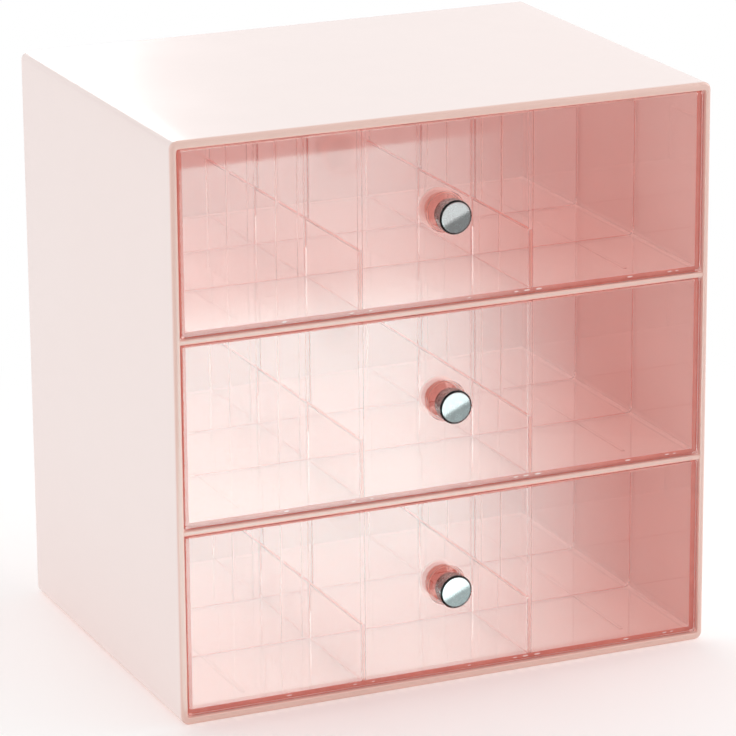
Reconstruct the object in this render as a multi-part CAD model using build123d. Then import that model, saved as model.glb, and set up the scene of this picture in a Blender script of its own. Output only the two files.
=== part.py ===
from build123d import *
import os

# A tabletop organizer for nail polish bottles: an open-fronted casing, closed at the back, that holds
# three clear drawers one above the other. Each drawer is a tray with a bonded front panel, a pair of
# low lengthwise dividers, a pair of tall cross dividers and a round metal knob.
# All sizes are millimetres. The origin is the centre of the casing's base, +Z is up, and the drawers
# slide out towards -Y.

# Casing
CASING_WIDTH = 174.0
CASING_DEPTH = 128.0
CASING_HEIGHT = 178.0
SIDE_WALL = 1.8
TOP_WALL = 2.4
BASE_WALL = 2.2
BACK_WALL = 1.8
SHELF_THICKNESS = 1.5
CORNER_RADIUS = 2.4
RIM_OUTER_RADIUS = 1.1
RIM_INNER_RADIUS = 0.35
REAR_EDGE_RADIUS = 0.8
OPENING_CORNER_RADIUS = 0.8
BACK_REBATE = 0.8
SHELF_EDGE_RADIUS = 0.4
SHELF_TONGUE = 0.7
SHELF_GROOVE_PLAY = 0.05
SHELF_TONGUE_SETBACK = 6.0

# Drawers, from the top one down
DRAWERS = ("upper", "middle", "lower")
SIDE_GAP = 0.4
FRONT_RECESS = 0.6
BACK_GAP = 0.6
TOP_GAP = 0.3
PANEL_LIFT = 0.3
PANEL_THICKNESS = 2.2
PANEL_EDGE_RADIUS = 0.6
RUNNER_LIFT = 0.1
RUNNER_HEIGHT = 0.3
RUNNER_WIDTH = 1.0
RUNNER_FROM_CENTRE = 63.6
RUNNER_END_SETBACK = 8.0
TRAY_WALL = 1.8
TRAY_FLOOR = 1.6
TRAY_BACK_WALL = 1.6
TRAY_RIM_DROP = 0.2
TRAY_RIM_RADIUS = 0.45
TRAY_INNER_RADIUS = 1.5
TRAY_OUTER_RADIUS = 3.0

# Dividers
DIVIDER_FROM_CENTRE = 27.7
DIVIDER_THICKNESS = 1.3
DIVIDER_HEIGHT = 18.0
DIVIDER_EDGE_RADIUS = 0.4
CROSS_THICKNESS = 1.5
CROSS_END_PLAY = 0.15
CROSS_TOP_GAP = 0.9
CROSS_CORNER_RADIUS = 1.8
LAP_HEIGHT = 9.1
LAP_PLAY = 0.1
SLOT_PLAY = 0.1
GROOVE_DEPTH = 0.5
GROOVE_END_PLAY = 0.1
SMALL_RIB_OFFSET = 2.9
SMALL_RIB_RADIUS = 0.35
LARGE_RIB_OFFSET = 9.7
LARGE_RIB_RADIUS = 0.55

# Knob, with the boss behind the panel that its stud screws into
KNOB_HEAD_RADIUS = 5.2
KNOB_HEAD_LENGTH = 3.6
KNOB_BEVEL = 0.5
KNOB_BACK_BEVEL = 0.25
KNOB_NECK_RADIUS = 4.5
KNOB_NECK_LENGTH = 2.4
BOSS_RADIUS = 6.3
BOSS_LENGTH = 6.8
BOSS_EDGE_RADIUS = 1.0
STUD_RADIUS = 1.45
STUD_HOLE_RADIUS = 1.5
STUD_DEPTH_IN_KNOB = 3.8
STUD_DEPTH_IN_BOSS = 5.0
STUD_HOLE_SPARE = 0.3

# Worked out from the sizes above
HALF_DEPTH = CASING_DEPTH / 2
CASING_FRONT = -HALF_DEPTH
OPENING_WIDTH = CASING_WIDTH - 2 * SIDE_WALL
OPENING_HEIGHT = CASING_HEIGHT - TOP_WALL - BASE_WALL
BACK_PANEL_FRONT = HALF_DEPTH - BACK_WALL
BAY_HEIGHT = (OPENING_HEIGHT - (len(DRAWERS) - 1) * SHELF_THICKNESS) / len(DRAWERS)
PANEL_FRONT = CASING_FRONT + FRONT_RECESS
PANEL_BACK = PANEL_FRONT + PANEL_THICKNESS
TRAY_WIDTH = OPENING_WIDTH - 2 * SIDE_GAP
TRAY_INNER_WIDTH = TRAY_WIDTH - 2 * TRAY_WALL
TRAY_BACK = BACK_PANEL_FRONT - BACK_GAP
TRAY_INNER_BACK = TRAY_BACK - TRAY_BACK_WALL
TRAY_INNER_DEPTH = TRAY_INNER_BACK - PANEL_BACK
TRAY_UNDERSIDE = RUNNER_LIFT + RUNNER_HEIGHT
FLOOR_TOP = TRAY_UNDERSIDE + TRAY_FLOOR
PANEL_TOP = BAY_HEIGHT - TOP_GAP
TRAY_TOP = PANEL_TOP - TRAY_RIM_DROP
SLOT_WIDTH = DIVIDER_THICKNESS + 2 * SLOT_PLAY
KNOB_HEIGHT = BAY_HEIGHT / 2
PAST = 5.0  # how far a cutting block runs past the piece it cuts
EDGE_TOLERANCE = 0.001


def bay_floor(index):
    """Height of the surface that the drawer of this index, counted from the top, slides on."""
    bays_below = len(DRAWERS) - 1 - index
    return BASE_WALL + bays_below * (BAY_HEIGHT + SHELF_THICKNESS)


def block(x_from, x_to, y_from, y_to, z_from, z_to):
    """A plain box between two limits along each axis."""
    middle = Pos((x_from + x_to) / 2, (y_from + y_to) / 2, (z_from + z_to) / 2)
    return middle * Box(x_to - x_from, y_to - y_from, z_to - z_from)


def upright_plate(x_from, x_to, z_from, z_to, y_from, y_to, corner_radius):
    """A plate that faces the front, with all four corners rounded by one radius."""
    outline = RectangleRounded(x_to - x_from, z_to - z_from, corner_radius)
    face = Plane.XZ.offset(-y_to) * Pos((x_from + x_to) / 2, (z_from + z_to) / 2) * outline
    return extrude(face, y_to - y_from)


def rod(radius, y_from, y_to, z):
    """A round bar along Y, on the middle plane of the object."""
    return Pos(0, (y_from + y_to) / 2, z) * Rot(90, 0, 0) * Cylinder(radius, y_to - y_from)


def in_plane(edges, axis, position):
    """Those of some edges that lie in one plane across an axis."""
    return edges.filter_by_position(axis, position - EDGE_TOLERANCE, position + EDGE_TOLERANCE)


def edges_at(solid, axis, position):
    """A solid's edges that lie in one plane across an axis."""
    return in_plane(solid.edges(), axis, position)


def make_casing_shell():
    """Top, base and both sides in one sleeve, rebated at the back and grooved for the shelves."""
    half = CASING_WIDTH / 2
    outer = upright_plate(-half, half, 0, CASING_HEIGHT, -HALF_DEPTH, HALF_DEPTH, CORNER_RADIUS)
    outer = fillet(edges_at(outer, Axis.Y, CASING_FRONT), RIM_OUTER_RADIUS)
    outer = fillet(edges_at(outer, Axis.Y, HALF_DEPTH), REAR_EDGE_RADIUS)
    half_open = OPENING_WIDTH / 2
    opening = upright_plate(
        -half_open, half_open, BASE_WALL, CASING_HEIGHT - TOP_WALL,
        CASING_FRONT - PAST, HALF_DEPTH + PAST, OPENING_CORNER_RADIUS,
    )
    shell = outer - opening
    opening_edges = new_edges(outer, opening, combined=shell)
    shell = fillet(in_plane(opening_edges, Axis.Y, CASING_FRONT), RIM_INNER_RADIUS)
    shell -= make_back_outline(HALF_DEPTH + PAST)
    for index in range(len(DRAWERS) - 1):
        shell -= make_shelf_tongues(index, SHELF_GROOVE_PLAY)
    return shell


def make_back_outline(y_to):
    """The rounded plate that fills the opening and its rebate, from the rebate's step to y_to."""
    half = OPENING_WIDTH / 2 + BACK_REBATE
    return upright_plate(
        -half, half, BASE_WALL - BACK_REBATE, CASING_HEIGHT - TOP_WALL + BACK_REBATE,
        BACK_PANEL_FRONT, y_to, OPENING_CORNER_RADIUS + BACK_REBATE,
    )


def make_back_panel():
    """The flat panel seated in the rebate, flush with the back of the shell."""
    return make_back_outline(HALF_DEPTH)


def make_shelf_tongues(index, play):
    """The two strips by which the shelf under drawer index sits in the side walls, with some play."""
    top = bay_floor(index)
    strips = []
    for side in (-1, 1):
        inner = side * OPENING_WIDTH / 2
        outer = inner + side * (SHELF_TONGUE + play)
        strips.append(block(
            min(inner, outer), max(inner, outer),
            CASING_FRONT + SHELF_TONGUE_SETBACK - play, BACK_PANEL_FRONT,
            top - SHELF_THICKNESS - play, top + play,
        ))
    return strips


def make_shelf(index):
    """The shelf under drawer index, as wide as the opening, with a tongue along each side."""
    top = bay_floor(index)
    half = OPENING_WIDTH / 2
    shelf = block(-half, half, CASING_FRONT + RIM_INNER_RADIUS, BACK_PANEL_FRONT, top - SHELF_THICKNESS, top)
    front_edges = edges_at(shelf, Axis.Y, CASING_FRONT + RIM_INNER_RADIUS).filter_by(Axis.X)
    shelf = fillet(front_edges, SHELF_EDGE_RADIUS)
    for tongue in make_shelf_tongues(index, 0):
        shelf += tongue
    return shelf


def make_tray(floor):
    """Floor, sides and back of a drawer, rounded inside and out, with two runners underneath."""
    half = TRAY_WIDTH / 2
    outer = block(-half, half, PANEL_BACK, TRAY_BACK, floor + TRAY_UNDERSIDE, floor + TRAY_TOP)
    outer = fillet(rounded_edges(outer, floor + TRAY_UNDERSIDE, TRAY_BACK), TRAY_OUTER_RADIUS)
    half_inner = TRAY_INNER_WIDTH / 2
    inside = block(
        -half_inner, half_inner, PANEL_BACK - PAST, TRAY_INNER_BACK,
        floor + FLOOR_TOP, floor + TRAY_TOP + PAST,
    )
    inside = fillet(rounded_edges(inside, floor + FLOOR_TOP, TRAY_INNER_BACK), TRAY_INNER_RADIUS)
    tray = outer - inside
    rim = edges_at(tray, Axis.Z, floor + TRAY_TOP)
    tray = fillet(rim - in_plane(rim, Axis.Y, PANEL_BACK), TRAY_RIM_RADIUS)
    for side in (-1, 1):
        x = side * RUNNER_FROM_CENTRE
        tray += block(
            x - RUNNER_WIDTH / 2, x + RUNNER_WIDTH / 2,
            PANEL_BACK + RUNNER_END_SETBACK, TRAY_BACK - RUNNER_END_SETBACK,
            floor + RUNNER_LIFT, floor + TRAY_UNDERSIDE,
        )
        tray -= make_divider_groove(
            side, TRAY_INNER_BACK - TRAY_INNER_RADIUS - SLOT_PLAY, TRAY_INNER_BACK + GROOVE_DEPTH, floor,
        )
    return tray


def rounded_edges(box, bottom, back):
    """A drawer box's two lower side edges, its lower back edge and its two upright back edges."""
    low_edges = edges_at(box, Axis.Z, bottom)
    low_back_edge = in_plane(low_edges, Axis.Y, back)
    upright_back_edges = edges_at(box, Axis.Y, back).filter_by(Axis.Z)
    return low_edges.filter_by(Axis.Y) + low_back_edge + upright_back_edges


def make_divider_groove(side, y_from, y_to, floor):
    """An upright groove, open at the top, that one end of a low divider drops into."""
    x = side * DIVIDER_FROM_CENTRE
    return block(
        x - SLOT_WIDTH / 2, x + SLOT_WIDTH / 2, y_from, y_to, floor + FLOOR_TOP, floor + BAY_HEIGHT + PAST,
    )


def make_front_panel(floor):
    """The drawer's clear front, grooved for the low dividers, with the knob's boss on its inner face."""
    half = TRAY_WIDTH / 2
    panel = block(-half, half, PANEL_FRONT, PANEL_BACK, floor + PANEL_LIFT, floor + PANEL_TOP)
    panel = fillet(panel.edges().filter_by(Axis.Y) + edges_at(panel, Axis.Y, PANEL_FRONT), PANEL_EDGE_RADIUS)
    for side in (-1, 1):
        panel -= make_divider_groove(side, PANEL_BACK - GROOVE_DEPTH, PANEL_BACK + PAST, floor)
    centre = floor + KNOB_HEIGHT
    boss_end = PANEL_BACK + BOSS_LENGTH
    boss = rod(BOSS_RADIUS, PANEL_BACK - GROOVE_DEPTH, boss_end, centre)
    boss = fillet(edges_at(boss, Axis.Y, boss_end), BOSS_EDGE_RADIUS)
    hole_end = PANEL_BACK + STUD_DEPTH_IN_BOSS + STUD_HOLE_SPARE
    return panel + boss - rod(STUD_HOLE_RADIUS, PANEL_FRONT - PAST, hole_end, centre)


def make_low_divider(side, floor):
    """A low lengthwise divider, notched from below where it laps over the cross dividers."""
    x = side * DIVIDER_FROM_CENTRE
    end_reach = GROOVE_DEPTH - GROOVE_END_PLAY
    divider = block(
        x - DIVIDER_THICKNESS / 2, x + DIVIDER_THICKNESS / 2,
        PANEL_BACK - end_reach, TRAY_INNER_BACK + end_reach,
        floor + FLOOR_TOP, floor + FLOOR_TOP + DIVIDER_HEIGHT,
    )
    top_edges = edges_at(divider, Axis.Z, floor + FLOOR_TOP + DIVIDER_HEIGHT)
    divider = fillet(top_edges.filter_by(Axis.Y), DIVIDER_EDGE_RADIUS)
    notch_half = CROSS_THICKNESS / 2 + SLOT_PLAY
    for y in cross_positions():
        divider -= block(
            x - DIVIDER_THICKNESS, x + DIVIDER_THICKNESS, y - notch_half, y + notch_half,
            floor + FLOOR_TOP - PAST, floor + FLOOR_TOP + LAP_HEIGHT,
        )
    return divider


def cross_positions():
    """The middle planes of the front and rear cross dividers, a third of the way apart."""
    third = TRAY_INNER_DEPTH / 3
    return PANEL_BACK + third, PANEL_BACK + 2 * third


def make_cross_divider(y, floor):
    """A cross divider of the drawer's full height, slotted from above, with fine ribs on its face."""
    half = TRAY_INNER_WIDTH / 2 - CROSS_END_PLAY
    bottom = floor + FLOOR_TOP
    top = floor + BAY_HEIGHT - CROSS_TOP_GAP
    front = y - CROSS_THICKNESS / 2
    divider = block(-half, half, front, y + CROSS_THICKNESS / 2, bottom, top)
    divider = fillet(edges_at(divider, Axis.Z, bottom).filter_by(Axis.Y), CROSS_CORNER_RADIUS)
    divider = fillet(edges_at(divider, Axis.Z, top).filter_by(Axis.X), DIVIDER_EDGE_RADIUS)
    for side in (-1, 1):
        x = side * DIVIDER_FROM_CENTRE
        for offset, radius in ((SMALL_RIB_OFFSET, SMALL_RIB_RADIUS), (LARGE_RIB_OFFSET, LARGE_RIB_RADIUS)):
            divider += make_rib(x + side * offset, front, radius, bottom, top - DIVIDER_EDGE_RADIUS)
        divider -= block(
            x - SLOT_WIDTH / 2, x + SLOT_WIDTH / 2, front - PAST, y + PAST,
            bottom + LAP_HEIGHT - LAP_PLAY, top + PAST,
        )
    return divider


def make_rib(x, front, radius, bottom, top):
    """A fine upright rib of half-round section that stands out of a cross divider's front face."""
    bar = Pos(x, front, (bottom + top) / 2) * Cylinder(radius, top - bottom)
    return bar - block(x - PAST, x + PAST, front + radius / 2, front + PAST, bottom - PAST, top + PAST)


def make_knob(floor):
    """A turned knob: a narrower neck against the panel and a flat-faced head with a bevelled edge."""
    centre = floor + KNOB_HEIGHT
    neck_end = PANEL_FRONT - KNOB_NECK_LENGTH
    face = neck_end - KNOB_HEAD_LENGTH
    head = rod(KNOB_HEAD_RADIUS, face, neck_end, centre)
    head = chamfer(edges_at(head, Axis.Y, face), KNOB_BEVEL)
    head = chamfer(edges_at(head, Axis.Y, neck_end), KNOB_BACK_BEVEL)
    knob = head + rod(KNOB_NECK_RADIUS, neck_end, PANEL_FRONT, centre)
    hole_end = PANEL_FRONT - STUD_DEPTH_IN_KNOB - STUD_HOLE_SPARE
    return knob - rod(STUD_HOLE_RADIUS, hole_end, PANEL_FRONT + PAST, centre)


def make_knob_stud(floor):
    """The steel stud that joins the knob to the boss through the panel."""
    return rod(
        STUD_RADIUS, PANEL_FRONT - STUD_DEPTH_IN_KNOB, PANEL_BACK + STUD_DEPTH_IN_BOSS, floor + KNOB_HEIGHT,
    )


def make_drawer(name, floor):
    """Every piece of one drawer, by node name."""
    front_cross, rear_cross = cross_positions()
    return {
        f"{name}_tray": make_tray(floor),
        f"{name}_front_panel": make_front_panel(floor),
        f"{name}_left_divider": make_low_divider(-1, floor),
        f"{name}_right_divider": make_low_divider(1, floor),
        f"{name}_front_cross_divider": make_cross_divider(front_cross, floor),
        f"{name}_rear_cross_divider": make_cross_divider(rear_cross, floor),
        f"{name}_knob": make_knob(floor),
        f"{name}_knob_stud": make_knob_stud(floor),
    }


def make_organizer():
    """Every piece of the organizer, by node name, with the drawers closed."""
    pieces = {
        "casing_shell": make_casing_shell(),
        "back_panel": make_back_panel(),
        "upper_shelf": make_shelf(0),
        "lower_shelf": make_shelf(1),
    }
    for index, name in enumerate(DRAWERS):
        pieces.update(make_drawer(name, bay_floor(index)))
    return pieces


os.makedirs("parts", exist_ok=True)
for node, piece in make_organizer().items():
    export_step(piece, f"parts/{node}.step")
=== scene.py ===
import math

import bpy
import numpy as np
from mathutils import Euler, Matrix, Vector


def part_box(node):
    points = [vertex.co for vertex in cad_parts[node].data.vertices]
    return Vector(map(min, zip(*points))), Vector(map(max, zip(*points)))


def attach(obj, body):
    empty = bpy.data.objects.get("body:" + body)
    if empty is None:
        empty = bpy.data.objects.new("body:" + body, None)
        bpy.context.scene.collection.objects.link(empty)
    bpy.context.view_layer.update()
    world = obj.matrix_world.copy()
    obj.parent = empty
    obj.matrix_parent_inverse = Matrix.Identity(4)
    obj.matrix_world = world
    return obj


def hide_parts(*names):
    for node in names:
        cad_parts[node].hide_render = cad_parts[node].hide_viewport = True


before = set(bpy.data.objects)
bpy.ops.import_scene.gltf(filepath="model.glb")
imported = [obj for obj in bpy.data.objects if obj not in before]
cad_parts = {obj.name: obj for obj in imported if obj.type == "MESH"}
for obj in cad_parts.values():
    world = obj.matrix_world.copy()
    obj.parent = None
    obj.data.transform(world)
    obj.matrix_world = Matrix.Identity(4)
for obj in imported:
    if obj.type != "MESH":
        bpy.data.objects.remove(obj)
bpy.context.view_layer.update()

bl_info = {
    "name": "Nail polish organizer",
    "version": (1, 0, 0),
    "blender": (4, 5, 0),
    "location": "3D View > Sidebar > Organizer",
    "description": "Dresses an organizer with three clear drawers: its casing, its drawers and its knobs",
    "category": "Object",
}

MM = 0.001
DRAWERS = ("upper", "middle", "lower")
CROSSES = ("front", "rear")
CLEAR_PARTS = (
    "tray", "front_panel", "left_divider", "right_divider", "front_cross_divider", "rear_cross_divider",
)
POLE = 0.02 * MM  # radius of the very small ring that a pole closes with
WHITE = (1.0, 1.0, 1.0, 1.0)

# Edge lines of painted shade: half the width of the finest, and how far one stands off the surface that it
# marks
FINE = 0.04 * MM
SKIN = 0.02 * MM
CROSS_HALF = 0.75 * MM  # half a cross divider's thickness
# The casing's rim colour is painted shade along its front edges.
RIM_SHADE_START, RIM_SHADE_FULL = 2.0 * MM, 0.6 * MM  # depth where the casing's rim colour starts, and where it is full

# Where the beads lie along the seam between the tray's floor and the front panel, in metres in X
SEAM_BEADS = np.array([-0.052, -0.0305, -0.0245, 0.0075, 0.023, 0.0265, 0.0305, 0.061, 0.0745, 0.077])
BEAD_RADII = np.array([0.42, 0.3, 0.36]) * MM
SEAM_BEAD_STRETCH = np.array([2.6, 0.5, 0.8])
# The beads' pale colour is a painted highlight for the glints at the joins.
BEAD_GLINT_WHITE = (0.97, 0.88, 0.86)
BEAD_PINK = (0.9, 0.62, 0.57)
EDGE_SURFACE = {"Roughness": 0.2, "Haze": 0.2, "Haze_Scale": 400.0}
BEAD_SURFACE = {"Roughness": 0.12, "Haze": 0.1, "Haze_Scale": 900.0}

# The knob's face: slope, wander and softness of the split of its painted reflection, and where its bevel and
# its side begin
SPLIT_SLOPE, SPLIT_WANDER, SPLIT_BLEND = 0.45, 0.9, (-0.2, 0.1)
BEVEL_START = (0.885, 0.915)
SIDE_START = (0.075, 0.095)
STEEL_DARK = (0.5, 0.5, 0.51)
STEEL_BRIGHT = (0.62, 0.62, 0.63)

# The world's fill: the direction's Y in front of the object and behind it, and the strength at each
FILL = (-0.9, 0.3, 0.5, 0.78)
LAMP_AIM = (0.0, 0.0, 0.09)
LAMPS = {  # place and side of each square lamp in metres, and its watts
    "front_right_softbox": ((0.5, -0.95, 0.32), 1.0, 1.5),
    "right_softbox": ((0.9, -0.2, 0.7), 0.8, 4.0),
    "left_softbox": ((-1.0, -0.1, 0.5), 0.6, 1.7),
    "top_softbox": ((0.0, -0.2, 1.2), 0.8, 0.7),
    "rear_softbox": ((0.12, 1.12, 0.53), 0.4, 2.8),
}

# The card: where it starts, and its fades, each with two distances in metres and the light at each
CARD_START_Y, CARD_HEIGHT = -0.07, 2 * MM
CARD_SIDE = (0.0, -0.095, 0.0, 1.0)
CARD_NEAR_END = (0.0, 0.12, 0.8, 1.0)
CARD_FAR_END = (0.33, 0.42, 1.0, 0.5)
CARD_GRAZE = (0.48, 0.6)  # facing, from where the card looks clear to where it looks white
CARD_PLATE_FACES = 2.5  # most faces of clear plates that a ray has crossed when it shows the card


# ---------------------------------------------------------------------------------------------
# Settings: the sizes and colours that a user would change
# ---------------------------------------------------------------------------------------------

def colour_setting(name, description, default):
    """A colour picker without alpha."""
    return bpy.props.FloatVectorProperty(
        name=name, description=description, subtype="COLOR", size=3, min=0.0, max=1.0, default=default,
    )


def number_setting(name, description, default, **rest):
    """A number, with what else a property of it is given."""
    return bpy.props.FloatProperty(name=name, description=description, default=default, **rest)


def length_setting(name, description, default):
    """A length in metres."""
    return number_setting(name, description, default, unit="LENGTH", precision=5)


def share_setting(name, description, default):
    """A share from 0 to 1."""
    return number_setting(name, description, default, min=0.0, max=1.0, subtype="FACTOR")


class ORGANIZER_PG_casing(bpy.types.PropertyGroup):
    """The opaque casing"""
    colour: colour_setting("Blush", "Colour of the casing's plastic", (0.905, 0.785, 0.757))
    shade: colour_setting("Blush shade", "Colour where the plastic is thicker", (0.895, 0.755, 0.722))
    # Rim: painted shade, a deeper pink along the front edges for the shade they sit in.
    rim_painted_shade: colour_setting("Rim", "Deeper colour along the front edges", (0.82, 0.56, 0.49))
    passing: colour_setting("Passing light", "Lamplight that a wall's face lets through", (0.96, 0.93, 0.92))
    gloss_roughness: share_setting("Roughness", "Roughness of the moulded gloss", 0.22)
    corner_radius: length_setting("Corner radius", "Outer corner radius in the front view", 2.4 * MM)
    opening_radius: length_setting("Opening radius", "Corner radius of the opening", 0.8 * MM)
    side_wall: length_setting("Side wall", "Thickness of the sides", 1.8 * MM)
    top_wall: length_setting("Top wall", "Thickness of the top", 2.4 * MM)
    base_wall: length_setting("Base wall", "Thickness of the base", 2.2 * MM)
    rim_outer: length_setting("Outer rim radius", "Rounding of the front rim's outer edge", 1.1 * MM)
    rim_inner: length_setting("Inner rim radius", "Rounding of the front rim's inner edge", 0.35 * MM)
    rear_edge: length_setting("Rear edge radius", "Rounding of the rear edge", 0.8 * MM)
    bow: length_setting("Wall bow", "How far each wall bows in at its middle as it cools", 0.12 * MM)


class ORGANIZER_PG_clear(bpy.types.PropertyGroup):
    """The clear drawers"""
    face: colour_setting("Face tint", "What one plate lets through, seen face on", (0.99, 0.97, 0.966))
    face_shade: colour_setting("Face shade", "Face tint in thicker plastic", (0.985, 0.95, 0.944))
    passing: colour_setting("Passing light", "Lamplight that a surface lets through", (0.998, 0.988, 0.986))
    # Edge and edge shade: painted shade, the deep colour that light gathered in the plates' edges gives,
    # drawn on opaque bars.
    edge: colour_setting("Edge", "Colour of the plates' edges", (0.6, 0.12, 0.08))
    edge_shade: colour_setting("Edge shade", "Colour that drifts in along the edges", (0.75, 0.26, 0.2))
    # Boss: painted shade, the deeper pink that the clear boss shows along its wall, drawn on an opaque ring.
    boss: colour_setting("Boss", "Colour that the boss shows along its wall", (0.86, 0.5, 0.44))
    tint: colour_setting("Depth tint", "Colour that lasts along the plastic's long way", (0.97, 0.55, 0.48))
    depth_of_tint: number_setting("Depth of tint", "Absorption of the clear plastic per metre", 50.0, min=0.0)
    trap_depth: number_setting("Trap depth", "Bounces after which light trapped in a plate goes out", 10.5)
    index: number_setting("Index", "Refractive index of the clear plastic", 1.59, min=1.0, max=2.0)


class ORGANIZER_PG_knob(bpy.types.PropertyGroup):
    """The metal knobs"""
    # Plating and grain paint a reflection on the face: plating above a slanted split, grain for the darker
    # part below it, which is painted reflection.
    colour: colour_setting("Plating", "Bright colour of the face", (0.38, 0.31, 0.31))
    grain: colour_setting("Grain", "Dark colour of the grained part of the face", (0.125, 0.102, 0.102))
    side: colour_setting("Side", "Colour of the turned side", (0.5, 0.52, 0.525))
    side_shade: colour_setting("Side shade", "Darker colour in the side's grain", (0.24, 0.25, 0.255))
    bevel: colour_setting("Bevel", "Colour of the bevel round the face", (0.012, 0.012, 0.012))
    head_bevel: length_setting("Head bevel", "Width of the bevel round the face", 0.5 * MM)
    neck_share: share_setting("Neck share", "Neck radius over head radius", 0.865)
    neck_length_share: share_setting("Neck length share", "Neck length over the knob's length", 0.4)


class ORGANIZER_PG_stage(bpy.types.PropertyGroup):
    """Floor, lamps and camera"""
    floor_colour: colour_setting("Floor", "Colour of the floor", (0.97, 0.97, 0.97))
    floor_reach: length_setting("Floor reach", "Radius of the floor", 6.0)
    shadow_reach: length_setting("Shadow reach", "Where the floor's shadow has faded to white", 0.3)
    camera_place: bpy.props.FloatVectorProperty(
        name="Camera place", description="Where the camera stands", default=(-0.5045, -1.1529, 0.4693),
        subtype="TRANSLATION", unit="LENGTH",
    )
    camera_turn: bpy.props.FloatVectorProperty(
        name="Camera turn", description="Tilt down, turn to the right and roll of the camera",
        default=(math.radians(17.113), math.radians(23.712), math.radians(-0.424)), subtype="EULER",
    )
    card_length: length_setting("Card length", "How far the white card reaches from the object", 0.65)
    card_width: length_setting("Card width", "Width of the white card", 0.4)
    card_edge: length_setting("Card edge", "Where the card's right edge starts", 0.09)
    card_turn: number_setting(
        "Card turn", "How far the card is turned to the right", math.radians(21.8), subtype="ANGLE",
    )
    card_colour: colour_setting("Card colour", "Cool, against the drawers' pink", (0.58, 1.0, 1.0))
    card_strength: number_setting("Card strength", "How bright the drawers mirror the card", 5.2, min=0.0)
    camera_lens: number_setting("Lens", "Focal length of the camera", 206.7, unit="CAMERA")


# ---------------------------------------------------------------------------------------------
# Surfaces
# ---------------------------------------------------------------------------------------------

def make_piece(name, vertices, faces, poles=()):
    """A smooth mesh object at the origin, from whole arrays of points and of four-cornered faces.

    Each row of poles lists the corners of a very small ring, which one more face closes.
    """
    mesh = bpy.data.meshes.new(name)
    mesh.from_pydata(vertices.tolist(), [], faces.tolist() + [list(map(int, pole)) for pole in poles])
    mesh.update()
    mesh.polygons.foreach_set("use_smooth", np.full(len(mesh.polygons), True))
    piece = bpy.data.objects.new(name, mesh)
    bpy.context.scene.collection.objects.link(piece)
    return piece


def grid_faces(rows, columns, close_rows, close_columns, start=0):
    """Four-cornered faces between neighbours of a grid of points, wrapped round where it closes."""
    r = np.arange(rows if close_rows else rows - 1)[:, None]
    c = np.arange(columns if close_columns else columns - 1)[None, :]
    r_next = (r + 1) % rows
    c_next = (c + 1) % columns
    corners = [r * columns + c, r_next * columns + c, r_next * columns + c_next, r * columns + c_next]
    return start + np.stack(np.broadcast_arrays(*corners), axis=-1).reshape(-1, 4)


def end_rings(rows, columns, start=0):
    """Corners of a grid's first ring and of its last, each in the order that faces away from the grid."""
    first = start + np.arange(columns)
    return [first, (first + (rows - 1) * columns)[::-1]]


def arc(start, end, count):
    """Angles from start to end in degrees, as radians, with both ends."""
    return np.radians(np.linspace(start, end, count))


def circle(count):
    """Angles all the way round, without the last one, which is the first again."""
    return np.linspace(0, 2 * np.pi, count, endpoint=False)


def rounded_loop(half_width, low, high, radius, arc_points, straight_points):
    """The closed outline of a rounded rectangle in X and Z, one row for each value of the inputs.

    Its corners are quarter circles. Its points are those circles' points in turn, and the straight runs
    are points shared out evenly from the end of one quarter circle to the start of the next.
    """
    angles = arc(0, 90, arc_points) + np.radians(90) * np.arange(4)[:, None]
    side_x = np.array([1.0, -1.0, -1.0, 1.0])[None, :, None]
    side_z = np.array([1.0, 1.0, 0.0, 0.0])[None, :, None]
    half_width, low, high, radius = (np.atleast_1d(v)[:, None, None] for v in (half_width, low, high, radius))
    x = side_x * (half_width - radius) + radius * np.cos(angles)
    z = np.where(side_z > 0.5, high - radius, low + radius) + radius * np.sin(angles)
    x, z = (v.reshape(len(v), -1) for v in (x, z))
    straight = arc_points - 1 + np.linspace(0, 1, straight_points + 2)[1:-1]
    steps = np.concatenate([np.arange(arc_points), straight])
    steps = (np.arange(4)[:, None] * arc_points + steps).ravel()
    low_step = np.floor(steps).astype(int)
    share = steps - low_step
    high_step = (low_step + 1) % (4 * arc_points)
    return tuple((1 - share) * v[:, low_step] + share * v[:, high_step] for v in (x, z))


def casing_profile(settings, front, back, back_panel_front, rebate):
    """The section of a casing wall, as a closed run of points: depth, share of the wall, and offset.

    It goes from the outer rear edge forward along the outside, round the front rim and back along the
    inside, with a step for the back panel. A point lies at share times the wall's thickness in from the
    outer face, plus its offset. Each rounded edge is a quarter circle.
    """
    outer, inner, rear = settings.rim_outer, settings.rim_inner, settings.rear_edge
    hold = 0.4 * MM
    quarter = arc(0, 90, 9)
    runs = [
        (np.array([back - rear - hold]), 0.0, np.array([0.0])),
        (np.linspace(back - rear - 3 * hold, front + outer + 3 * hold, 24), 0.0, np.zeros(24)),
        (np.array([front + outer + hold]), 0.0, np.array([0.0])),
        (front + outer * (1 - np.sin(quarter)), 0.0, outer * (1 - np.cos(quarter))),
        (front + inner * (1 - np.cos(quarter)), 1.0, -inner * (1 - np.sin(quarter))),
        (np.array([front + inner + hold]), 1.0, np.array([0.0])),
        (np.linspace(front + inner + 3 * hold, back_panel_front - 3 * hold, 24), 1.0, np.zeros(24)),
        (np.array([back_panel_front - 0.05 * MM, back_panel_front]), 1.0, np.zeros(2)),
        (np.array([back_panel_front, back_panel_front + 0.05 * MM]), 1.0, np.full(2, -rebate)),
        (np.array([back - 0.05 * MM, back]), 1.0, np.full(2, -rebate)),
        (back - rear * (1 - np.cos(quarter)), 0.0, rear * (1 - np.sin(quarter))),
    ]
    depth = np.concatenate([run[0] for run in runs])
    share = np.concatenate([np.full(len(run[0]), run[1]) for run in runs])
    offset = np.concatenate([run[2] for run in runs])
    return depth, share, offset


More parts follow.
